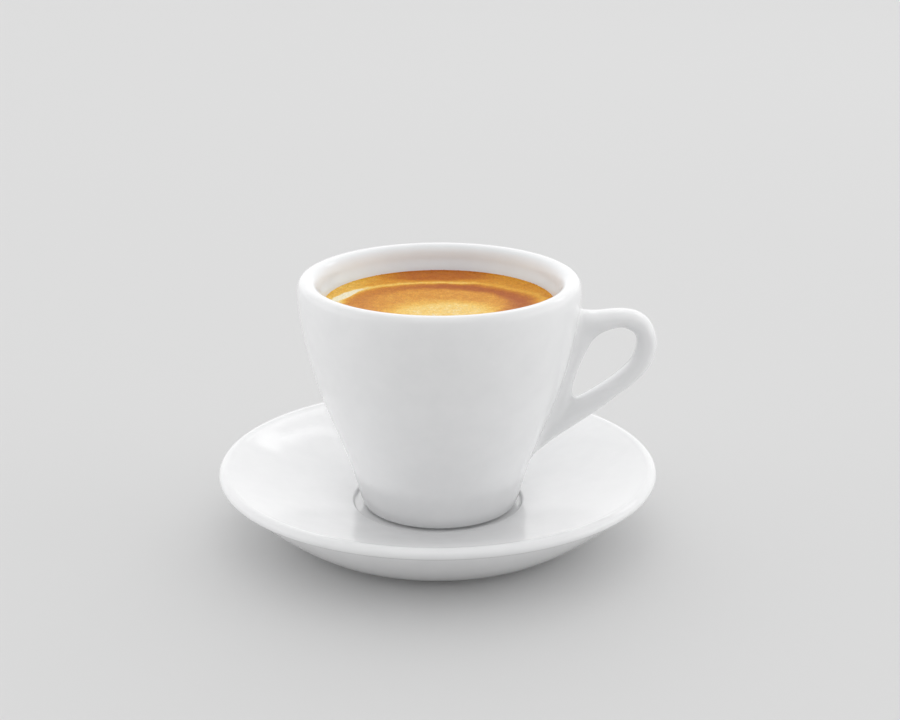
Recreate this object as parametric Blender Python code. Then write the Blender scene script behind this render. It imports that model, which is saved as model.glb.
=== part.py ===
"""Filled espresso cup on its saucer: a tapered porcelain cup with a ring handle, the coffee that
stands in it up to its level, and a dished saucer with a round well for the cup's foot.

Units are metres, +Z is up, and the origin is at the centre of the saucer's foot.
"""
import math

import bmesh
import bpy

MM = 0.001
GAP = 0.3 * MM                     # kept between pieces that touch
SEGMENTS = 64                      # facets round every turned piece

# saucer
SAUCER_RADIUS = 55.25 * MM
SAUCER_FOOT_INNER = 30.6 * MM
SAUCER_FOOT_OUTER = 34.0 * MM
SAUCER_FOOT_EDGE = 0.7 * MM        # rounding of the foot's outer edge
SAUCER_RECESS = 2.2 * MM           # hollow inside the foot ring
SAUCER_LIP_HEIGHT = 17.8 * MM      # top of the rounded lip
SAUCER_LIP_WIDTH = 3.4 * MM
SAUCER_LIP_DEPTH = 2.7 * MM
WELL_RADIUS = 21.4 * MM            # floor of the round well
WELL_FLOOR = 7.0 * MM
WELL_DEPTH = 1.0 * MM

# cup, measured from its own foot
CUP_SHIFT = 0.5 * MM               # the cup stands slightly to the handle side in its well
CUP_HEIGHT = 58.9 * MM
CUP_RADIUS = 35.0 * MM             # outside, just under the lip
CUP_FOOT_RADIUS = 20.3 * MM
CUP_FOOT_INNER = 16.0 * MM
CUP_RECESS = 1.2 * MM
LIP_WIDTH = 4.3 * MM
LIP_DEPTH = 1.9 * MM               # from the widest point of the lip to its crest
FILL_HEIGHT = 52.7 * MM            # level of the coffee
FILL_RADIUS = 28.5 * MM            # inside of the wall at that level
FLOOR_HEIGHT = 4.6 * MM
FLOOR_RADIUS = 12.5 * MM

# handle, a ring fused to the cup's side
HANDLE_DEPTH = 7.4 * MM            # across the ring
HANDLE_SIDES = 12                  # facets round the ring's section
HANDLE_SQUARENESS = 2.3            # 2 is an ellipse
HANDLE_STEPS = 3                   # stations between two named ones


def curve_points(start, handle_a, handle_b, end, count):
    """Points along a cubic curve, without its start."""
    points = []
    for step in range(1, count + 1):
        t = step / count
        weights = ((1 - t) ** 3, 3 * (1 - t) ** 2 * t, 3 * (1 - t) * t * t, t ** 3)
        corners = (start, handle_a, handle_b, end)
        points.append(tuple(sum(w * c[axis] for w, c in zip(weights, corners)) for axis in (0, 1)))
    return points


def arc_points(centre, width, height, first, last, count):
    """Points round an elliptical arc, angles in degrees, first and last included."""
    points = []
    for step in range(count + 1):
        angle = math.radians(first + (last - first) * step / count)
        points.append((centre[0] + width * math.cos(angle), centre[1] + height * math.sin(angle)))
    return points


def turned_mesh(name, profile):
    """Spin a closed profile of (radius, height) points, both ends on the axis, into a solid."""
    shape = bmesh.new()
    corners = [shape.verts.new((radius, 0.0, height)) for radius, height in profile]
    edges = [shape.edges.new(pair) for pair in zip(corners, corners[1:])]
    bmesh.ops.spin(shape, geom=corners + edges, cent=(0, 0, 0), axis=(0, 0, 1),
                   angle=math.tau, steps=SEGMENTS, use_duplicate=False)
    bmesh.ops.remove_doubles(shape, verts=shape.verts, dist=MM / 500)
    bmesh.ops.recalc_face_normals(shape, faces=shape.faces)
    mesh = bpy.data.meshes.new(name)
    shape.to_mesh(mesh)
    shape.free()
    return mesh


def add_object(name, mesh, parent=None):
    """Put a mesh in the scene, shaded smooth but for its real edges."""
    mesh.shade_smooth()
    mesh.set_sharp_from_angle(angle=math.radians(40))
    obj = bpy.data.objects.new(name, mesh)
    obj.parent = parent
    bpy.context.collection.objects.link(obj)
    return obj


def material(name, color, roughness):
    """A plain glossy surface."""
    made = bpy.data.materials.new(name)
    made.use_nodes = True
    surface = made.node_tree.nodes["Principled BSDF"]
    surface.inputs["Base Color"].default_value = (*color, 1.0)
    surface.inputs["Roughness"].default_value = roughness
    surface.inputs["Metallic"].default_value = 0.0
    return made


def saucer_profile():
    """Recess, foot ring, steep underside, rounded lip, dish and well, from the axis out and back."""
    foot = SAUCER_FOOT_OUTER
    lip_centre = (SAUCER_RADIUS - SAUCER_LIP_WIDTH / 2, SAUCER_LIP_HEIGHT - SAUCER_LIP_DEPTH / 2)
    lip = arc_points(lip_centre, SAUCER_LIP_WIDTH / 2, SAUCER_LIP_DEPTH / 2, -70, 120, 8)
    crease = (lip[0][0] - 0.3 * MM, lip[0][1] - 0.1 * MM)
    well_edge = (WELL_RADIUS + 0.5 * MM, WELL_FLOOR + WELL_DEPTH)
    profile = [(0.0, SAUCER_RECESS), (SAUCER_FOOT_INNER - 1.5 * MM, SAUCER_RECESS)]
    profile += [(SAUCER_FOOT_INNER - 0.2 * MM, 0.6 * MM), (SAUCER_FOOT_INNER + 0.3 * MM, 0.0)]
    profile += arc_points((foot - SAUCER_FOOT_EDGE, SAUCER_FOOT_EDGE),
                          SAUCER_FOOT_EDGE, SAUCER_FOOT_EDGE, -90, -10, 2)
    profile += curve_points(profile[-1], (37.6 * MM, 0.9 * MM), (48.8 * MM, 10.1 * MM), crease, 8)
    profile += lip
    rim = lip[-1]
    for step in range(1, 8):
        share = 1 - step / 7
        radius = well_edge[0] + (rim[0] - well_edge[0]) * share
        profile.append((radius, well_edge[1] + (rim[1] - well_edge[1]) * share ** 1.5))
    profile += [(WELL_RADIUS + 0.1 * MM, WELL_FLOOR + 0.6 * WELL_DEPTH)]
    profile += [(WELL_RADIUS - 0.4 * MM, WELL_FLOOR), (0.0, WELL_FLOOR)]
    return profile


def cup_inside(count):
    """The inner wall from the coffee's level down to the floor's edge."""
    start = (FILL_RADIUS, FILL_HEIGHT)
    end = (FLOOR_RADIUS, FLOOR_HEIGHT)
    upper = (FILL_RADIUS - 2.2 * MM, FILL_HEIGHT - 10.8 * MM)
    lower = (FLOOR_RADIUS + 10.0 * MM, FLOOR_HEIGHT)
    return [start] + curve_points(start, upper, lower, end, count)


def cup_profile():
    """Foot, tapered side, thick rounded lip, inner wall and floor."""
    foot = CUP_FOOT_RADIUS
    widest = CUP_HEIGHT - LIP_DEPTH
    profile = [(0.0, CUP_RECESS), (CUP_FOOT_INNER - 0.6 * MM, CUP_RECESS), (CUP_FOOT_INNER, 0.0)]
    profile += [(foot - 1.0 * MM, 0.0), (foot - 0.25 * MM, 0.3 * MM), (foot + 0.35 * MM, 1.1 * MM)]
    side = curve_points((foot, 0.0), (29.7 * MM, 26.7 * MM), (CUP_RADIUS - 0.03 * MM, 45.6 * MM),
                        (CUP_RADIUS, widest), 10)
    profile += side[:-1]
    profile += arc_points((CUP_RADIUS - LIP_WIDTH / 2, widest), LIP_WIDTH / 2, LIP_DEPTH, 0, 157, 8)
    inner_lip = profile[-1]
    profile += curve_points(inner_lip, (inner_lip[0] - 0.75 * MM, inner_lip[1] - 1.6 * MM),
                            (FILL_RADIUS + 0.35 * MM, FILL_HEIGHT + 1.7 * MM),
                            (FILL_RADIUS, FILL_HEIGHT), 2)
    profile += cup_inside(8)[1:]
    profile.append((0.0, FLOOR_HEIGHT))
    return profile


def coffee_profile():
    """The drink, a gap clear of the cup's inner wall and floor."""
    wall = cup_inside(8)
    profile = [(0.0, FLOOR_HEIGHT + GAP)]
    for index in range(len(wall) - 1, 0, -1):
        before = wall[min(index + 1, len(wall) - 1)]
        after = wall[index - 1]
        run = (after[0] - before[0], after[1] - before[1])
        length = math.hypot(*run)
        spot = wall[index]
        profile.append((spot[0] - run[1] / length * GAP, spot[1] + run[0] / length * GAP))
    profile += [(FILL_RADIUS - GAP, FILL_HEIGHT), (0.0, FILL_HEIGHT)]
    return profile


def handle_stations():
    """Pairs of points round the ring in the cup's middle plane: on the finger hole and outside.

    They run from the top arm out round the bend, down the lower arm to the tail on the cup's side,
    and up the inner web, whose outside points lie within the cup's wall.
    """
    pairs = [
        ((44.6, 46.2), (45.0, 50.6)), ((47.1, 45.7), (49.3, 49.8)), ((48.7, 44.4), (52.5, 47.1)),
        ((49.1, 41.8), (54.0, 41.8)), ((48.1, 37.8), (52.2, 36.0)), ((45.2, 34.5), (48.6, 31.8)),
        ((41.5, 31.6), (44.5, 28.5)), ((37.6, 28.9), (40.2, 24.9)), ((34.9, 27.5), (30.6, 17.4)),
        ((33.7, 27.7), (23.4, 12.4)), ((33.2, 29.6), (26.4, 25.0)), ((34.1, 34.0), (29.0, 33.5)),
        ((35.7, 38.3), (30.4, 40.0)), ((38.0, 42.7), (31.8, 49.2)), ((40.9, 45.2), (39.6, 50.2)),
    ]
    return [tuple((x * MM, z * MM) for x, z in pair) for pair in pairs]


def smooth_between(values, index, t):
    """A smooth closed curve through the values, at share t of the span after index."""
    a, b, c, d = (values[(index + shift) % len(values)] for shift in (-1, 0, 1, 2))
    return 0.5 * (2 * b + (c - a) * t + (2 * a - 5 * b + 4 * c - d) * t * t
                  + (3 * b - a - 3 * c + d) * t ** 3)


def handle_mesh():
    """A closed ring of rounded sections, one at each station and some between."""
    flat = [pair[0] + pair[1] for pair in handle_stations()]
    shape = bmesh.new()
    rings = []
    for index in range(len(flat)):
        for step in range(HANDLE_STEPS):
            inner_x, inner_z, outer_x, outer_z = (
                smooth_between([row[axis] for row in flat], index, step / HANDLE_STEPS)
                for axis in range(4))
            ring = []
            for side in range(HANDLE_SIDES):
                angle = math.tau * side / HANDLE_SIDES
                along = rounded(math.cos(angle)) / 2 + 0.5
                across = rounded(math.sin(angle)) * HANDLE_DEPTH / 2
                spot = (inner_x + (outer_x - inner_x) * along, across,
                        inner_z + (outer_z - inner_z) * along)
                ring.append(shape.verts.new(spot))
            rings.append(ring)
    for ring, following in zip(rings, rings[1:] + rings[:1]):
        for side in range(HANDLE_SIDES):
            after = (side + 1) % HANDLE_SIDES
            shape.faces.new((ring[side], ring[after], following[after], following[side]))
    bmesh.ops.recalc_face_normals(shape, faces=shape.faces)
    mesh = bpy.data.meshes.new("handle_ring")
    shape.to_mesh(mesh)
    shape.free()
    return mesh


def rounded(value):
    """Signed power that squares off a circle's sine or cosine."""
    return math.copysign(abs(value) ** (2 / HANDLE_SQUARENESS), value)


def build():
    for old in list(bpy.data.objects):
        bpy.data.objects.remove(old, do_unlink=True)
    porcelain = material("porcelain", (0.90, 0.90, 0.90), 0.15)
    crema = material("crema", (0.62, 0.30, 0.07), 0.3)

    stand = bpy.data.objects.new("cup_place", None)
    stand.location = (CUP_SHIFT, 0.0, WELL_FLOOR + GAP)
    bpy.context.collection.objects.link(stand)

    saucer = add_object("saucer", turned_mesh("saucer", saucer_profile()))
    saucer.data.materials.append(porcelain)

    cup = add_object("cup", turned_mesh("cup", cup_profile()), stand)
    cup.data.materials.append(porcelain)
    ring = add_object("handle_ring", handle_mesh(), stand)
    ring.hide_render = True
    ring.display_type = "WIRE"
    fuse = cup.modifiers.new("handle", "BOOLEAN")
    fuse.operation = "UNION"
    fuse.object = ring

    espresso = add_object("espresso", turned_mesh("espresso", coffee_profile()), stand)
    espresso.data.materials.append(crema)


build()
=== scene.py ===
import math
import random

import bmesh
import bpy
import numpy as np
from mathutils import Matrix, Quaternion, Vector


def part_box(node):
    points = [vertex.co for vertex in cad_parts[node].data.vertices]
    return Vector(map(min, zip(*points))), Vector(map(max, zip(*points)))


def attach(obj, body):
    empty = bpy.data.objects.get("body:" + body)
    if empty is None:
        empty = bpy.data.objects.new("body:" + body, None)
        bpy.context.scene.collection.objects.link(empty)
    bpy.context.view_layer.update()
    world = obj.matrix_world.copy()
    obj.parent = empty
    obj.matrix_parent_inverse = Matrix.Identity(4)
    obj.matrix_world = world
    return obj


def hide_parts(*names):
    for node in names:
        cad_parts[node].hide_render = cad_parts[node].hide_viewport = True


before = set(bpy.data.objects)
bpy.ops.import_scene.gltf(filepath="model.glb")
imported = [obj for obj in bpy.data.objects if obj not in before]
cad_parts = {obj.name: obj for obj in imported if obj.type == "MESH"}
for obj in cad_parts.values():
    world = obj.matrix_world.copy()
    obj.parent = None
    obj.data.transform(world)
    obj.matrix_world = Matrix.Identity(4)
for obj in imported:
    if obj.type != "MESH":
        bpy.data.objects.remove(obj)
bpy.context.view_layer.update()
mm = 0.001

# where the cup stands, read from the frame: its axis, and the level its heights are measured from
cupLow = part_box("cup")[0]
drinkLow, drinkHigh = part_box("espresso")
cupAxisX = (drinkLow.x + drinkHigh.x) / 2
cupFloorZ = cupLow.z - 0.25 * mm
print("frame loaded, cup axis at x =", round(cupAxisX / mm, 2), "mm")


# shapes: curves in the plane of radius and height

def curvePoints(start, handleA, handleB, end, count):
    t = np.linspace(0, 1, count + 1)[1:, None]
    corners = [np.array(corner, float) for corner in (start, handleA, handleB, end)]
    return list((1 - t) ** 3 * corners[0] + 3 * (1 - t) ** 2 * t * corners[1]
                + 3 * (1 - t) * t * t * corners[2] + t ** 3 * corners[3])


def arcPoints(centre, width, height, first, last, count):
    angles = np.radians(np.linspace(first, last, count + 1))
    return [np.array((centre[0] + width * math.cos(a), centre[1] + height * math.sin(a))) for a in angles]


def linePoints(start, end, count):
    start, end = np.array(start), np.array(end)
    return [start + (end - start) * step / count for step in range(1, count + 1)]


def meshFrom(name, vertices, faces, smoothAngle=50):
    mesh = bpy.data.meshes.new(name)
    mesh.from_pydata([tuple(v) for v in vertices], [], faces)
    mesh.validate()
    mesh.shade_smooth()
    mesh.set_sharp_from_angle(angle=math.radians(smoothAngle))
    obj = bpy.data.objects.new(name, mesh)
    bpy.context.scene.collection.objects.link(obj)
    return obj


def turnedGrid(profile, segments):
    # a lathe: the profile's ends lie on the axis and become one point each
    rings = profile[1:-1]
    angles = np.linspace(0, math.tau, segments, endpoint=False)
    vertices = [(0, 0, profile[0][1])]
    for radius, height in rings:
        vertices += [(radius * math.cos(a), radius * math.sin(a), height) for a in angles]
    vertices.append((0, 0, profile[-1][1]))
    faces = []
    last = len(vertices) - 1
    for s in range(segments):
        after = (s + 1) % segments
        faces.append((0, 1 + after, 1 + s))
        for ring in range(len(rings) - 1):
            a = 1 + ring * segments
            b = a + segments
            faces.append((a + s, a + after, b + after, b + s))
        top = 1 + (len(rings) - 1) * segments
        faces.append((top + s, top + after, last))
    return vertices, faces


# saucer

saucerShape = {
    "segments": 288,
    "radius": 55.22 * mm,
    "footInner": 30.6 * mm,
    "footOuter": 34.0 * mm,
    "footEdge": 0.7 * mm,            # rounding of the foot's outer edge
    "recess": 2.2 * mm,              # hollow inside the foot ring
    "lipHeight": 17.77 * mm,
    "lipWidth": 3.4 * mm,
    "lipDepth": 2.7 * mm,
    "crease": (0.35 * mm, -0.02 * mm),  # the lip overhangs the underside by this much
    "wellRadius": 21.4 * mm,         # the round well for the cup's foot
    "wellFloor": 6.65 * mm,
    "wellDepth": 1.15 * mm,
    "dishReach": 9.0 * mm,           # how far the two ends of the dish hold their slope
    "dishSlopes": (15.0, 17.3),      # slope in degrees at the well and at the rim
}


def saucerProfile():
    s = saucerShape
    lipCentre = (s["radius"] - s["lipWidth"] / 2, s["lipHeight"] - s["lipDepth"] / 2)
    lip = arcPoints(lipCentre, s["lipWidth"] / 2, s["lipDepth"] / 2, -78, 122, 30)
    # the hollow and the foot ring
    foot = s["footInner"]
    profile = [np.array((0, s["recess"]))]
    profile += linePoints(profile[-1], (foot - 2 * mm, s["recess"]), 8)
    profile += curvePoints(profile[-1], (foot - 0.6 * mm, s["recess"]),
                           (foot - 0.4 * mm, 0.9 * mm), (foot - 0.1 * mm, 0.5 * mm), 6)
    profile += curvePoints(profile[-1], (foot + 0.05 * mm, 0.15 * mm),
                           (foot + 0.2 * mm, 0), (foot + 0.6 * mm, 0), 4)
    edge = s["footEdge"]
    profile += arcPoints((s["footOuter"] - edge, edge), edge, edge, -90, -8, 6)
    # the underside runs up to a crease below the lip
    profile += curvePoints(profile[-1], (37.6 * mm, 0.9 * mm), (48.8 * mm, 10.1 * mm),
                           lip[0] - np.array(s["crease"]), 30)
    profile += lip
    # the dish slopes down to the well, whose edge is rounded
    rim = lip[-1]
    wellEdge = np.array((s["wellRadius"] + 0.75 * mm, s["wellFloor"] + s["wellDepth"]))
    lowSlope, highSlope = (math.tan(math.radians(slope)) for slope in s["dishSlopes"])
    profile += curvePoints(rim, rim - np.array((1, highSlope)) * s["dishReach"],
                           wellEdge + np.array((1, lowSlope)) * s["dishReach"], wellEdge, 30)
    profile += curvePoints(profile[-1], wellEdge - np.array((0.42 * mm, 0.05 * mm)),
                           (s["wellRadius"] + 0.1 * mm, s["wellFloor"] + 0.75 * s["wellDepth"]),
                           (s["wellRadius"], s["wellFloor"] + 0.42 * s["wellDepth"]), 6)
    profile += curvePoints(profile[-1], (s["wellRadius"] - 0.15 * mm, s["wellFloor"] + 0.1 * mm),
                           (s["wellRadius"] - 0.35 * mm, s["wellFloor"]),
                           (s["wellRadius"] - 0.9 * mm, s["wellFloor"]), 5)
    profile += linePoints(profile[-1], (0, s["wellFloor"]), 9)
    return profile


def makeSaucer():
    vertices, faces = turnedGrid(saucerProfile(), saucerShape["segments"])
    saucer = meshFrom("glazedSaucer", vertices, faces)
    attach(saucer, "root")
    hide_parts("saucer")
    return saucer


# cup with its ring handle

cupShape = {
    "segments": 288,
    "height": 66.16 * mm - cupFloorZ,
    "radius": 34.98 * mm,
    "footRadius": 20.3 * mm,
    "footInner": 16.0 * mm,
    "recess": 1.2 * mm,              # hollow under the foot
    "footInset": 2.2 * mm,           # the foot stands on a ring this far in from its edge
    "footGap": 0.65 * mm,            # dark gap under that edge
    "footDrop": 0.35 * mm,           # the ring reaches down this far
    "waist": 1.5 * mm,               # the lower body draws in by this much
    "waistHeight": 12.0 * mm,
    "waistSpread": 14.5 * mm,
    "lipWidth": 4.3 * mm,
    "lipDepth": 1.9 * mm,
    "lipRun": 3.6 * mm,              # height over which the outside bends into the lip
    "innerLip": (5.42 * mm, 3.3 * mm),  # in from the outside and down, where the lip ends inside
    "fillHeight": drinkHigh.z - cupFloorZ,
    "fillRadius": 28.5 * mm,
    "floorHeight": 4.6 * mm,
    "floorRadius": 12.5 * mm,
}

handleShape = {
    "depth": 7.4 * mm,
    "sides": 44,
    "squareness": 2.3,               # 2 is an oval section, more is squarer
    "steps": 14,                     # stations between two named ones
    "flare": 1.9 * mm,               # soft fillet where the ring runs into the cup
    "lift": 0.3 * mm,
    # points on the finger hole and on the outside, round the ring in the cup's middle plane
    "stations": [
        ((44.6, 46.2), (45.0, 50.6)), ((46.9, 45.6), (49.3, 49.8)), ((48.4, 44.3), (52.5, 47.1)),
        ((48.9, 41.8), (53.97, 41.8)), ((47.9, 37.9), (52.2, 36.0)), ((45.1, 34.6), (48.6, 31.8)),
        ((41.5, 31.7), (44.5, 28.5)), ((37.6, 29.1), (40.2, 24.9)), ((34.9, 27.7), (29.8, 17.6)),
        ((33.7, 27.8), (21.6, 12.0)), ((33.2, 29.6), (26.4, 25.0)), ((34.1, 34.0), (29.0, 33.5)),
        ((35.7, 38.3), (30.4, 40.0)), ((38.0, 42.6), (31.8, 49.2)), ((40.9, 45.1), (39.6, 50.2)),
    ],
}


def waistAt(height):
    c = cupShape
    return c["waist"] * np.exp(-((height - c["waistHeight"]) / c["waistSpread"]) ** 2)


def cupSide(count):
    c = cupShape
    widest = c["height"] - c["lipDepth"]
    side = curvePoints((c["footRadius"], 0), (29.7 * mm, 26.7 * mm), (c["radius"] - 0.03 * mm, 45.6 * mm),
                       (c["radius"], widest), count)
    return [point - np.array((waistAt(point[1]), 0)) for point in side]


def bowlPoints(count):
    # the inner wall from the coffee's edge down to the flat floor
    c = cupShape
    fill = np.array((c["fillRadius"], c["fillHeight"]))
    return curvePoints(fill, fill - np.array((2.2 * mm, 10.8 * mm)),
                       (c["floorRadius"] + 10 * mm, c["floorHeight"]),
                       (c["floorRadius"], c["floorHeight"]), count)


def cupProfile():
    c = cupShape
    foot = c["footRadius"] - waistAt(0)
    base = -c["footDrop"]
    edge = base + c["footGap"]
    profile = [np.array((0, c["recess"]))]
    profile += linePoints(profile[-1], (c["footInner"] - 1.4 * mm, c["recess"]), 6)
    profile += curvePoints(profile[-1], (c["footInner"] - 0.5 * mm, c["recess"]),
                           (c["footInner"] - 0.3 * mm, base), (c["footInner"] + 0.4 * mm, base), 6)
    profile += linePoints(profile[-1], (foot - c["footInset"], base), 3)
    # the foot's outer edge is rounded and stands a little clear of the saucer
    rounding = (foot - 0.7 * mm, edge)
    side = cupSide(60)
    profile += curvePoints(profile[-1], (foot - c["footInset"] + 0.3 * mm, base + c["footGap"] * 0.7),
                           (foot - 1.5 * mm, edge), rounding, 6)
    profile += curvePoints(rounding, (foot - 0.2 * mm, edge), (foot, edge + 0.35 * mm), side[1], 6)
    profile += [point for point in side[2:] if point[1] < c["height"] - c["lipRun"]]
    # the lip bends over gently, then turns down inside
    lipMiddle = (c["radius"] - c["lipWidth"] / 2, c["height"])
    profile += curvePoints(profile[-1], (c["radius"], c["height"] - 1.2 * mm),
                           (c["radius"] - 0.35 * mm, c["height"]), lipMiddle, 20)
    inward, down = c["innerLip"]
    innerLip = np.array((c["radius"] - inward, c["height"] - down))
    profile += curvePoints(lipMiddle, (c["radius"] - 4.40 * mm, c["height"]),
                           innerLip + np.array((0.42 * mm, 1.6 * mm)), innerLip, 20)
    fill = np.array((c["fillRadius"], c["fillHeight"]))
    profile += curvePoints(innerLip, innerLip - np.array((0.24 * mm, 0.9 * mm)),
                           fill + np.array((0.18 * mm, 0.9 * mm)), fill, 8)
    profile += bowlPoints(20)
    profile += linePoints(profile[-1], (0, c["floorHeight"]), 4)
    return profile


def squared(values, power):
    return np.sign(values) * np.abs(values) ** (2 / power)


def ringGrid():
    # rounded sections round the ring, smooth through the named stations
    h = handleShape
    flat = np.array([inner + outer for inner, outer in h["stations"]]) * mm
    share = np.linspace(0, 1, h["steps"], endpoint=False)[:, None]
    rows = []
    for index in range(len(flat)):
        # a smooth curve from b to c, with a and d as their neighbours
        a, b, c, d = (flat[(index + shift) % len(flat)] for shift in (-1, 0, 1, 2))
        rows.append(0.5 * (2 * b + (c - a) * share + (2 * a - 5 * b + 4 * c - d) * share ** 2
                           + (3 * b - a - 3 * c + d) * share ** 3))
    rows = np.concatenate(rows)
    angles = np.linspace(0, math.tau, h["sides"], endpoint=False)
    along = squared(np.cos(angles), h["squareness"]) / 2 + 0.5
    across = squared(np.sin(angles), h["squareness"]) * h["depth"] / 2
    grid = np.zeros((len(rows), h["sides"], 3))
    grid[:, :, 0] = rows[:, 0:1] + (rows[:, 2:3] - rows[:, 0:1]) * along
    grid[:, :, 1] = across
    grid[:, :, 2] = rows[:, 1:2] + (rows[:, 3:4] - rows[:, 1:2]) * along + h["lift"]
    return grid


def flareGrid(grid):
    # near the cup's side the ring swells, so that it runs into the wall in a soft fillet
    side = np.array([(cupShape["footRadius"], 0)] + cupSide(80))
    radius = np.hypot(grid[:, :, 0], grid[:, :, 1])
    wall = np.interp(grid[:, :, 2], side[:, 1], side[:, 0])
    slope = np.interp(grid[:, :, 2], side[:, 1], np.gradient(side[:, 0], side[:, 1]))
    lean = 1 / np.sqrt(1 + slope ** 2)
    gap = (radius - wall) * lean
    outward = np.stack([grid[:, :, 0] / radius * lean, grid[:, :, 1] / radius * lean, -slope * lean], axis=2)
    alongRing = np.roll(grid, -1, axis=0) - np.roll(grid, 1, axis=0)
    roundRing = np.roll(grid, -1, axis=1) - np.roll(grid, 1, axis=1)
    normal = np.cross(alongRing, roundRing)
    normal /= np.linalg.norm(normal, axis=2)[:, :, None] + 1e-12
    centre = grid.mean(axis=1)[:, None, :]
    facing = np.sign(((grid - centre) * normal).sum(axis=2))[:, :, None]
    normal *= facing
    sideways = normal - (normal * outward).sum(axis=2)[:, :, None] * outward
    reach = handleShape["flare"]
    near = np.clip(reach - gap, 0, reach)
    swell = reach - np.sqrt(np.maximum(reach ** 2 - near ** 2, 0))
    return grid + sideways * swell[:, :, None]


def ringMesh():
    grid = flareGrid(ringGrid())
    count, sides = grid.shape[:2]
    faces = []
    for i in range(count):
        for s in range(sides):
            a, b = i, (i + 1) % count
            c, d = s, (s + 1) % sides
            faces.append((a * sides + c, a * sides + d, b * sides + d, b * sides + c))
    return grid.reshape(-1, 3), faces


def fixNormals(obj):
    shape = bmesh.new()
    shape.from_mesh(obj.data)
    bmesh.ops.recalc_face_normals(shape, faces=shape.faces)
    shape.to_mesh(obj.data)
    shape.free()


def makeCup():
    vertices, faces = turnedGrid(cupProfile(), cupShape["segments"])
    cup = meshFrom("glazedCup", vertices, faces)
    ringVertices, ringFaces = ringMesh()
    ring = meshFrom("ringHandle", ringVertices, ringFaces)
    for piece in (cup, ring):
        fixNormals(piece)
        piece.location = (cupAxisX, 0, cupFloorZ)
    fuse = cup.modifiers.new("ring", "BOOLEAN")
    fuse.operation = "UNION"
    fuse.object = ring
    bpy.context.view_layer.update()
    fused = bpy.data.meshes.new_from_object(cup.evaluated_get(bpy.context.evaluated_depsgraph_get()))
    cup.modifiers.clear()
    cup.data = fused
    cup.data.shade_smooth()
    cup.data.set_sharp_from_angle(angle=math.radians(50))
    bpy.data.objects.remove(ring, do_unlink=True)
    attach(cup, "root")
    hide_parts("cup")
    return cup


# espresso with its crema

cremaShape = {
    "segments": 420,
    "rings": 130,
    "intoWall": 0.35 * mm,           # the top reaches this far into the cup's wall
    "sideIntoWall": 0.10 * mm,       # and the rest of the drink this far
    "aboveFloor": 0.05 * mm,
    "dip": 0.20 * mm,                # the middle lies lower than the edge
    "dipPower": 2.4,
    "wallRise": 0.12 * mm,           # the surface climbs the wall a little
    "riseWidth": 0.025,              # as a share of the radius
    "ripple": 0.012 * mm,
    "rippleSizes": (7 * mm, 2.6 * mm),
    "bubbleCount": 520,
    "bubbleSize": (0.07 * mm, 0.20 * mm),
    "bubbleScatter": (0.2, 0.55),    # mean and spread of their distance from the wall, in mm
    "bubbleSunk": 0.35,              # as a share of their size
    "bubbleRows": 3,
    "bubbleSides": 8,
    "strayEvery": 5,                 # one bubble in so many lies anywhere, and is smaller
    "strayScale": 0.6,
    "seed": 7,
}


def smoothNoise(x, y, size, seed):
    # layered sine waves in seeded directions, a cheap smooth ripple
    draw = random.Random(seed)
    total = np.zeros_like(x)
    for _ in range(9):
        heading = draw.uniform(0, math.tau)
        wave = math.tau / (size * draw.uniform(0.7, 1.5))
        total += np.sin((x * math.cos(heading) + y * math.sin(heading)) * wave + draw.uniform(0, math.tau))
    return total / 4


def cremaHeight(x, y):
    c = cremaShape
    radius = np.hypot(x, y) / cupShape["fillRadius"]
    height = -c["dip"] * (1 - np.clip(radius, 0, 1) ** c["dipPower"])
    height = height - c["wallRise"] * (1 - np.exp(-np.clip(1 - radius, 0, 1) / c["riseWidth"]))
    fade = np.clip((1 - radius) * 8, 0, 1)
    large, small = c["rippleSizes"]
    return height + c["ripple"] * fade * (smoothNoise(x, y, large, 3) + 0.5 * smoothNoise(x, y, small, 5))


def makeEspresso():
    c = cremaShape
    top = cupShape["fillHeight"]
    reach = cupShape["fillRadius"] + c["intoWall"]
    radii = np.linspace(0, reach, c["rings"] + 1)[1:]
    angles = np.linspace(0, math.tau, c["segments"], endpoint=False)
    vertices = [(0, 0, top + float(cremaHeight(np.zeros(1), np.zeros(1))[0]))]
    for radius in radii:
        x, y = radius * np.cos(angles), radius * np.sin(angles)
        vertices += list(zip(x, y, top + cremaHeight(x, y)))
    # under the surface the drink follows the inner wall down to the floor
    below = bowlPoints(12)
    for radius, height in below:
        wide = radius + c["sideIntoWall"]
        vertices += [(wide * math.cos(a), wide * math.sin(a), height + c["aboveFloor"]) for a in angles]
    vertices.append((0, 0, cupShape["floorHeight"] + c["aboveFloor"]))
    count = c["segments"]
    rings = len(radii) + len(below)
    faces = []
    for s in range(count):
        after = (s + 1) % count
        faces.append((0, 1 + s, 1 + after))
        for ring in range(rings - 1):
            a = 1 + ring * count
            b = a + count
            faces.append((a + s, b + s, b + after, a + after))
        base = 1 + (rings - 1) * count
        faces.append((base + s, len(vertices) - 1, base + after))
    drink = meshFrom("cremaTopped", vertices, faces)
    drink.location = (cupAxisX, 0, cupFloorZ)
    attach(drink, "root")
    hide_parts("espresso")
    return drink


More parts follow.
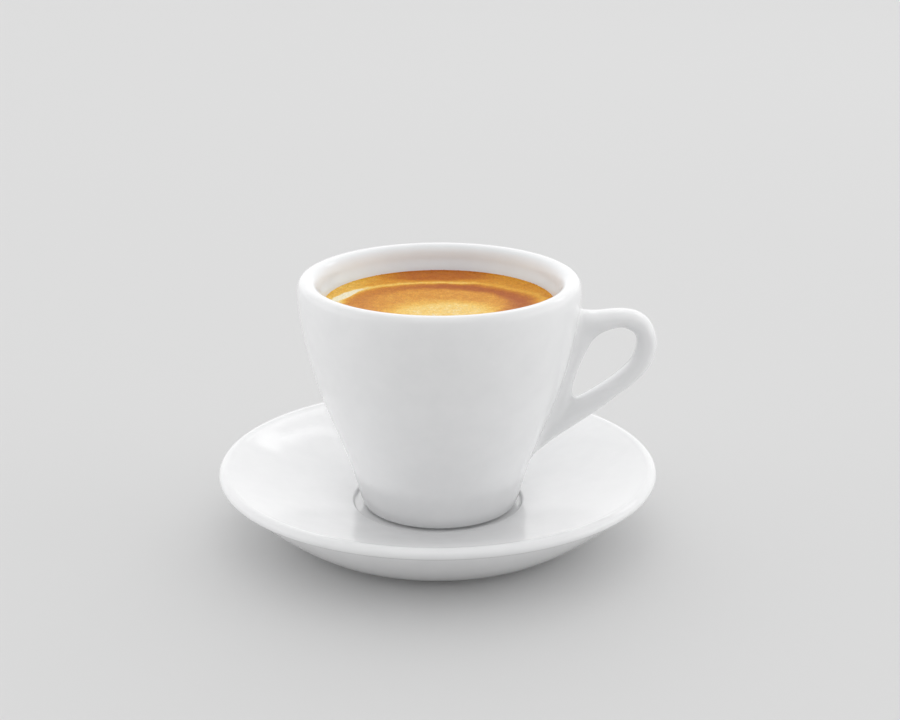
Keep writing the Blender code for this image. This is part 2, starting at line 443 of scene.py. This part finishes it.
def makeBubbles():
    # fine foam bubbles, thickest along the wall
    c = cremaShape
    rows, sides = c["bubbleRows"], c["bubbleSides"]
    draw = random.Random(c["seed"])
    vertices, faces = [], []
    for index in range(c["bubbleCount"]):
        stray = index % c["strayEvery"] == 0
        angle = draw.uniform(0, math.tau)
        if stray:
            radius = cupShape["fillRadius"] * math.sqrt(draw.uniform(0, 0.96))
        else:
            radius = cupShape["fillRadius"] - abs(draw.gauss(*c["bubbleScatter"])) * mm
        size = draw.uniform(*c["bubbleSize"])
        if stray:
            size *= c["strayScale"]
        x, y = radius * math.cos(angle), radius * math.sin(angle)
        level = cupShape["fillHeight"] + float(cremaHeight(np.array([x]), np.array([y]))[0])
        z = level - size * c["bubbleSunk"]
        # each is a small dome of rows and sides, closed by one point at its top
        start = len(vertices)
        for row in range(rows):
            tilt = math.radians(-5 + 90 * row / rows)
            for s in range(sides):
                turn = math.tau * s / sides
                vertices.append((x + size * math.cos(tilt) * math.cos(turn),
                                 y + size * math.cos(tilt) * math.sin(turn), z + size * math.sin(tilt)))
        vertices.append((x, y, z + size))
        for s in range(sides):
            after = (s + 1) % sides
            for row in range(rows - 1):
                a, b = start + row * sides, start + (row + 1) * sides
                faces.append((a + s, a + after, b + after, b + s))
            last = start + (rows - 1) * sides
            faces.append((last + s, last + after, start + rows * sides))
    bubbles = meshFrom("cremaBubbles", vertices, faces, 180)
    bubbles.location = (cupAxisX, 0, cupFloorZ)
    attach(bubbles, "root")
    return bubbles


# materials

class NodeTree:
    def __init__(self, name):
        self.material = bpy.data.materials.new(name)
        self.material.use_nodes = True
        self.tree = self.material.node_tree
        self.surface = self.tree.nodes["Principled BSDF"]

    def add(self, kind, **settings):
        node = self.tree.nodes.new("ShaderNode" + kind)
        for key, value in settings.items():
            if key in node.inputs:
                node.inputs[key].default_value = value
            else:
                setattr(node, key, value)
        return node

    def link(self, source, target):
        self.tree.links.new(source, target)

    def set(self, **values):
        for key, value in values.items():
            self.surface.inputs[key].default_value = value

    def feed(self, socket, value):
        if isinstance(value, bpy.types.NodeSocket):
            self.link(value, socket)
        else:
            socket.default_value = value

    def math(self, operation, *values):
        node = self.add("Math", operation=operation)
        for socket, value in zip(node.inputs, values):
            self.feed(socket, value)
        return node.outputs[0]

    def vector(self, operation, *values):
        node = self.add("VectorMath", operation=operation)
        for socket, value in zip(node.inputs, values):
            self.feed(socket, value)
        return node.outputs[0]

    def radius(self, x, y):
        return self.math("SQRT", self.math("ADD", self.math("MULTIPLY", x, x), self.math("MULTIPLY", y, y)))

    def ramp(self, value, start, end, low, high):
        # eases from low to high while the value goes from start to end
        node = self.add("MapRange", interpolation_type="SMOOTHSTEP")
        self.feed(node.inputs["Value"], value)
        flip = start > end
        node.inputs["From Min"].default_value = end if flip else start
        node.inputs["From Max"].default_value = start if flip else end
        node.inputs["To Min"].default_value = high if flip else low
        node.inputs["To Max"].default_value = low if flip else high
        return node.outputs["Result"]

    def setStops(self, node, stops):
        elements = node.color_ramp.elements
        while len(elements) < len(stops):
            elements.new(0.5)
        for element, (position, color) in zip(elements, stops):
            element.position = position
            element.color = (*color, 1)


porcelainLook = {
    "color": (0.825, 0.827, 0.832, 1),
    "shade": (0.800, 0.803, 0.809, 1),
    "roughness": (0.06, 0.12),
    "mottleScale": 160.0,
    "glazeScale": 420.0,
    "glazeDepth": 0.012,
    "glazeReach": 0.0002,
    # painted cool tint inside the cup, a little cooler most of all close to the coffee, which cancels the
    # warm light the coffee bounces onto the wall
    "bounceCancelTint": (0.955, 1.018, 1.060),
    "insideRadius": (32.6 * mm, 30.6 * mm),
    "insideHeight": (44.0 * mm, 46.0 * mm),
    "insideFade": (54.0 * mm, 58.0 * mm),
}


def porcelainMaterial():
    p = porcelainLook
    m = NodeTree("whiteGlaze")
    place = m.add("TexCoord").outputs["Object"]
    # faint mottling of colour and gloss
    mottle = m.add("TexNoise", Scale=p["mottleScale"], Detail=5.0, Roughness=0.6)
    m.link(place, mottle.inputs["Vector"])
    tint = m.add("ValToRGB")
    tint.color_ramp.elements[0].position = 0.3
    tint.color_ramp.elements[0].color = p["shade"]
    tint.color_ramp.elements[1].position = 0.65
    tint.color_ramp.elements[1].color = p["color"]
    m.link(mottle.outputs["Fac"], tint.inputs["Fac"])
    # the painted cool tint inside the cup fades out towards the lip
    axes = m.add("SeparateXYZ")
    m.link(place, axes.inputs[0])
    radius = m.radius(axes.outputs["X"], axes.outputs["Y"])
    height = axes.outputs["Z"]
    inside = m.math("MULTIPLY", m.ramp(radius, *p["insideRadius"], 0, 1),
                    m.ramp(height, *p["insideHeight"], 0, 1))
    inside = m.math("MULTIPLY", inside, m.ramp(height, *p["insideFade"], 1, 0.4))
    bounceCancel = m.add("Mix", data_type="RGBA", blend_type="MULTIPLY")
    m.link(inside, bounceCancel.inputs["Factor"])
    m.link(tint.outputs["Color"], bounceCancel.inputs["A"])
    bounceCancel.inputs["B"].default_value = (*p["bounceCancelTint"], 1)
    m.link(bounceCancel.outputs["Result"], m.surface.inputs["Base Color"])
    sheen = m.add("MapRange")
    sheen.inputs["To Min"].default_value = p["roughness"][0]
    sheen.inputs["To Max"].default_value = p["roughness"][1]
    m.link(mottle.outputs["Fac"], sheen.inputs["Value"])
    m.link(sheen.outputs["Result"], m.surface.inputs["Roughness"])
    # the fired glaze isn't quite level
    glaze = m.add("TexNoise", Scale=p["glazeScale"], Detail=3.0)
    m.link(place, glaze.inputs["Vector"])
    bump = m.add("Bump", Strength=p["glazeDepth"], Distance=p["glazeReach"])
    m.link(glaze.outputs["Fac"], bump.inputs["Height"])
    m.link(bump.outputs["Normal"], m.surface.inputs["Normal"])
    m.set(**{"IOR": 1.5, "Specular IOR Level": 0.5})
    return m.material


cremaLook = {
    # from the darkest brown to the palest cream
    "tones": [
        (0.00, (0.445, 0.104, 0.007)), (0.25, (0.575, 0.188, 0.010)), (0.45, (0.715, 0.292, 0.018)),
        (0.62, (0.825, 0.430, 0.048)), (0.76, (0.905, 0.570, 0.110)), (0.88, (0.930, 0.655, 0.210)),
        (1.00, (0.930, 0.850, 0.620)),
    ],
    "baseTone": 0.46,
    "ringWidth": 25.5 * mm,          # the ring of the painted lip reflection, which also places the darker ring, half its width and depth
    "ringDepth": 18.7 * mm,
    "ringCentreY": -1.0 * mm,
    "darkPlace": 0.79,               # the darker ring's place as a share of that ring
    "darkStrength": 0.46,
    "lipReflectionStrength": 0.30,
    "reflectionLeftStrength": 0.22,            # the painted lip reflection's broad left end
    "wallShadeStrength": 0.35,            # painted shade: brown along the wall behind
    # partly painted light: the paler middle and front of the crema
    "paleCentre": (1.0 * mm, -9.0 * mm),
    "paleSize": (14.0 * mm, 10.5 * mm),
    "paleStrength": 0.39,
    # a painted highlight: a near-white glint on the crema at the left
    "glintPlace": (-24.2 * mm, 5.2 * mm),
    "glintSize": (4.6 * mm, 1.3 * mm),
    "glintTurn": 58,                  # degrees
    "glintStrength": 0.62,
    "wander": 1.7 * mm,
    "wanderScale": 150.0,
    "grain": 0.20,
    "patchScale": 620.0,
    "grainScale": 3600.0,
    "cellScale": 2100.0,
    "cellDepth": 0.18,
    "cellReach": 0.00010,
    "roughness": 0.34,
    "gloss": 0.06,
    "coat": 0.045,
    "coatRoughness": 0.10,
}


def cremaMaterial():
    c = cremaLook
    m = NodeTree("goldenCrema")
    place = m.add("TexCoord").outputs["Object"]
    # currents push the rings out of true
    drift = m.add("TexNoise", Scale=c["wanderScale"], Detail=3.0, Roughness=0.5)
    m.link(place, drift.inputs["Vector"])
    centred = m.vector("SUBTRACT", drift.outputs["Color"], (0.5, 0.5, 0.5))
    pushed = m.vector("MULTIPLY", centred, (c["wander"] * 2, c["wander"] * 2, 0))
    moved = m.vector("ADD", place, pushed)
    axes = m.add("SeparateXYZ")
    m.link(moved, axes.inputs[0])
    x, y = axes.outputs["X"], axes.outputs["Y"]
    acrossRing = m.math("DIVIDE", x, c["ringWidth"])
    alongRing = m.math("DIVIDE", m.math("SUBTRACT", y, c["ringCentreY"]), c["ringDepth"])
    ring = m.radius(acrossRing, alongRing)
    # a darker brown ring, partly the crema's own and partly painted shade, strongest behind and to the right
    darkRing = m.ramp(m.math("ABSOLUTE", m.math("SUBTRACT", ring, c["darkPlace"])), 0.20, 0.02, 0, 1)
    darkSide = m.math("MULTIPLY", m.ramp(x, -19 * mm, 6 * mm, 0.35, 1), m.ramp(y, -14 * mm, 2 * mm, 0.25, 1))
    dark = m.math("MULTIPLY", darkRing, darkSide)
    # a painted reflection of the cup's lip: a bright ring outside it, clearest behind and to the left
    lipReflectionRing = m.ramp(m.math("ABSOLUTE", m.math("SUBTRACT", ring, 1.0)), 0.085, 0.01, 0, 1)
    lipReflectionSide = m.math("MULTIPLY", m.ramp(x, 2 * mm, 17 * mm, 1, 0.35), m.ramp(y, -8 * mm, 3 * mm, 0.15, 1))
    reflectionLeftEnd = m.math("MULTIPLY", m.ramp(x, -14 * mm, -23 * mm, 0, c["reflectionLeftStrength"]),
                     m.ramp(ring, 0.86, 0.98, 0, 1))
    bright = m.math("MULTIPLY", m.math("MULTIPLY", lipReflectionRing, lipReflectionSide), c["lipReflectionStrength"])
    bright = m.math("ADD", bright, reflectionLeftEnd)
    # painted shade: brown again along the wall behind, where the back wall shades the crema
    wallShade = m.math("MULTIPLY", m.ramp(y, 18.6 * mm, 21 * mm, 0, 1),
                  m.ramp(m.math("ABSOLUTE", x), 18 * mm, 6 * mm, 0, 1))
    # pale cream in the middle, partly the crema's own lighter middle and partly painted light on its front
    paleX, paleY = c["paleCentre"]
    pale = m.radius(m.math("DIVIDE", m.math("SUBTRACT", x, paleX), c["paleSize"][0]),
                    m.math("DIVIDE", m.math("SUBTRACT", y, paleY), c["paleSize"][1]))
    cream = m.ramp(pale, 1.30, 0.50, 0, c["paleStrength"])
    # a painted highlight: a thin streak of near-white glint at the left
    glintX, glintY = c["glintPlace"]
    turn = math.radians(c["glintTurn"])
    fromX, fromY = m.math("SUBTRACT", x, glintX), m.math("SUBTRACT", y, glintY)
    alongGlint = m.math("ADD", m.math("MULTIPLY", fromX, math.cos(turn)),
                       m.math("MULTIPLY", fromY, math.sin(turn)))
    acrossGlint = m.math("SUBTRACT", m.math("MULTIPLY", fromY, math.cos(turn)),
                        m.math("MULTIPLY", fromX, math.sin(turn)))
    length, width = c["glintSize"]
    streak = m.radius(m.math("DIVIDE", alongGlint, length), m.math("DIVIDE", acrossGlint, width))
    glint = m.ramp(streak, 1.4, 0.5, 0, c["glintStrength"])
    # fine grain of the foam, and small patches
    patches = m.add("TexNoise", Scale=c["patchScale"], Detail=4.0, Roughness=0.62)
    m.link(place, patches.inputs["Vector"])
    grains = m.add("TexNoise", Scale=c["grainScale"], Detail=2.0, Roughness=0.6)
    m.link(place, grains.inputs["Vector"])
    grain = m.math("ADD", m.math("SUBTRACT", patches.outputs["Fac"], 0.5),
                   m.math("SUBTRACT", grains.outputs["Fac"], 0.5))
    # all of them add up to one tone, which the ramp of colours turns into brown, gold or cream
    tone = m.math("MULTIPLY_ADD", dark, -c["darkStrength"], c["baseTone"])
    tone = m.math("MULTIPLY_ADD", wallShade, -c["wallShadeStrength"], tone)
    tone = m.math("ADD", tone, bright)
    tone = m.math("ADD", m.math("ADD", tone, cream), glint)
    tone = m.math("MULTIPLY_ADD", grain, c["grain"] * 2, tone)
    stops = m.add("ValToRGB")
    m.setStops(stops, c["tones"])
    m.link(tone, stops.inputs["Fac"])
    # tiny bubbles: dark rims round paler caps
    cells = m.add("TexVoronoi", Scale=c["cellScale"])
    m.link(place, cells.inputs["Vector"])
    rims = m.ramp(cells.outputs["Distance"], 0.15, 0.75, 1.05, 0.88)
    shade = m.add("Mix", data_type="RGBA", blend_type="MULTIPLY")
    shade.inputs["Factor"].default_value = 1.0
    m.link(stops.outputs["Color"], shade.inputs["A"])
    m.link(rims, shade.inputs["B"])
    m.link(shade.outputs["Result"], m.surface.inputs["Base Color"])
    bump = m.add("Bump", Strength=c["cellDepth"], Distance=c["cellReach"])
    m.link(cells.outputs["Distance"], bump.inputs["Height"])
    m.link(bump.outputs["Normal"], m.surface.inputs["Normal"])
    m.set(**{"Roughness": c["roughness"], "IOR": 1.33, "Specular IOR Level": c["gloss"],
             "Coat Weight": c["coat"], "Coat Roughness": c["coatRoughness"], "Coat IOR": 1.33})
    return m.material


# studio: floor, light and camera

studioLook = {
    "floorColor": 0.67,
    "floorVariation": 0.004,
    "floorReach": 6,                 # metres each way
    # soft glows in the tent: direction round from +X, height above level, tightness, brightness
    "glows": [
        (0, 0, 3, 1.68), (180, 0, 3, 1.38), (90, 0, 3, 0.80), (90, 45, 3, 1.25), (270, 45, 3, 0.84),
        (270, 70, 10, 0.6),
    ],
    "aimHeight": 40 * mm,            # all lamps aim at this height over the saucer's middle
    # panels that show in the glaze: direction round and height above level, width and height,
    # lean to the side, all in degrees, and brightness
    "panelDistance": 1.2,
    "panels": {
        "window": (52.0, 34.0, 18.0, 8.0, 0, 1.3),
        "windowSill": (80.6, 32.6, 2.0, 6.0, 8, 1.5),
        "windowSide": (78.1, 40.0, 0.6, 10.0, 7, 2.4),
        "windowEdge": (80.8, 40.5, 0.6, 9.0, 2, 2.4),
    },
    # low strips at both sides light the cup's body and are kept out of the glaze
    "stripDistance": 4.0,
    "strips": {
        "stripRight": (0, 1.5, 50.0, 5.0, 0, 7.2),
        "stripLeft": (180, 1.5, 50.0, 5.0, 0, 8.8),
    },
}


def makeFloor():
    r = studioLook["floorReach"]
    floor = meshFrom("floor", [(-r, -r, 0), (r, -r, 0), (r, r, 0), (-r, r, 0)], [(0, 1, 2, 3)])
    m = NodeTree("paleFloor")
    grain = m.add("TexNoise", Scale=3.0, Detail=2.0)
    tone = m.add("MapRange")
    tone.inputs["To Min"].default_value = studioLook["floorColor"] - studioLook["floorVariation"]
    tone.inputs["To Max"].default_value = studioLook["floorColor"] + studioLook["floorVariation"]
    m.link(grain.outputs["Fac"], tone.inputs["Value"])
    m.link(tone.outputs["Result"], m.surface.inputs["Base Color"])
    m.set(Roughness=0.9)
    floor.data.materials.append(m.material)


def direction(azimuth, elevation):
    a, e = math.radians(azimuth), math.radians(elevation)
    return Vector((math.cos(a) * math.cos(e), math.sin(a) * math.cos(e), math.sin(e)))


def makeWorld():
    # a white tent, each glow a soft lobe round its direction
    world = bpy.data.worlds.new("studioTent")
    bpy.context.scene.world = world
    world.use_nodes = True
    tree = world.node_tree
    place = tree.nodes.new("ShaderNodeTexCoord")
    total = None
    for azimuth, elevation, tightness, brightness in studioLook["glows"]:
        facing = tree.nodes.new("ShaderNodeVectorMath")
        facing.operation = "DOT_PRODUCT"
        tree.links.new(place.outputs["Generated"], facing.inputs[0])
        facing.inputs[1].default_value = direction(azimuth, elevation)
        front = tree.nodes.new("ShaderNodeMath")
        front.operation = "MAXIMUM"
        front.inputs[1].default_value = 0.0
        tree.links.new(facing.outputs["Value"], front.inputs[0])
        lobe = tree.nodes.new("ShaderNodeMath")
        lobe.operation = "POWER"
        lobe.inputs[1].default_value = tightness
        tree.links.new(front.outputs[0], lobe.inputs[0])
        layer = tree.nodes.new("ShaderNodeMath")
        layer.operation = "MULTIPLY_ADD"
        layer.inputs[1].default_value = brightness
        tree.links.new(lobe.outputs[0], layer.inputs[0])
        if total is None:
            layer.inputs[2].default_value = 0.0
        else:
            tree.links.new(total, layer.inputs[2])
        total = layer.outputs[0]
    tree.links.new(total, tree.nodes["Background"].inputs["Color"])


def addPanels(panels, reach, inGlaze):
    for name, (azimuth, elevation, wide, high, lean, brightness) in panels.items():
        light = bpy.data.lights.new(name, "AREA")
        light.shape = "RECTANGLE"
        light.size = 2 * reach * math.tan(math.radians(wide / 2))
        light.size_y = 2 * reach * math.tan(math.radians(high / 2))
        light.energy = brightness * math.pi * light.size * light.size_y
        lamp = bpy.data.objects.new(name, light)
        toward = direction(azimuth, elevation)
        lamp.location = toward * reach + Vector((0, 0, studioLook["aimHeight"]))
        leaning = Quaternion((0, 0, 1), math.radians(lean))
        lamp.rotation_euler = (toward.to_track_quat("Z", "Y") @ leaning).to_euler()
        lamp.visible_glossy = inGlaze
        bpy.context.scene.collection.objects.link(lamp)


cameraSetting = {
    "place": (3.22 * mm, -417.78 * mm, 184.65 * mm),
    "pitchDown": 18.523,             # degrees below level
    "yaw": 0.016,                    # degrees
    "focalPixels": 1767.3,           # for a picture 900 wide
    "pictureWidth": 900,
}


def makeCamera():
    c = cameraSetting
    data = bpy.data.cameras.new("photoCamera")
    data.sensor_width = 36
    data.lens = c["focalPixels"] / c["pictureWidth"] * data.sensor_width
    data.clip_start = 0.01
    camera = bpy.data.objects.new("photoCamera", data)
    camera.location = c["place"]
    camera.rotation_euler = (math.radians(90 - c["pitchDown"]), 0, math.radians(c["yaw"]))
    bpy.context.scene.collection.objects.link(camera)
    bpy.context.scene.camera = camera


glaze = porcelainMaterial()
saucer = makeSaucer()
saucer.data.materials.append(glaze)
print("saucer made:", len(saucer.data.polygons), "faces")
cup = makeCup()
cup.data.materials.clear()
cup.data.materials.append(glaze)
print("cup made:", len(cup.data.polygons), "faces")
crema = cremaMaterial()
drink = makeEspresso()
drink.data.materials.append(crema)
bubbles = makeBubbles()
bubbles.data.materials.append(crema)
print("espresso made:", len(drink.data.polygons), "faces and", cremaShape["bubbleCount"], "bubbles")
makeFloor()
makeWorld()
addPanels(studioLook["panels"], studioLook["panelDistance"], True)
addPanels(studioLook["strips"], studioLook["stripDistance"], False)
makeCamera()
bpy.context.scene.view_settings.view_transform = "Standard"
print("studio and camera set")
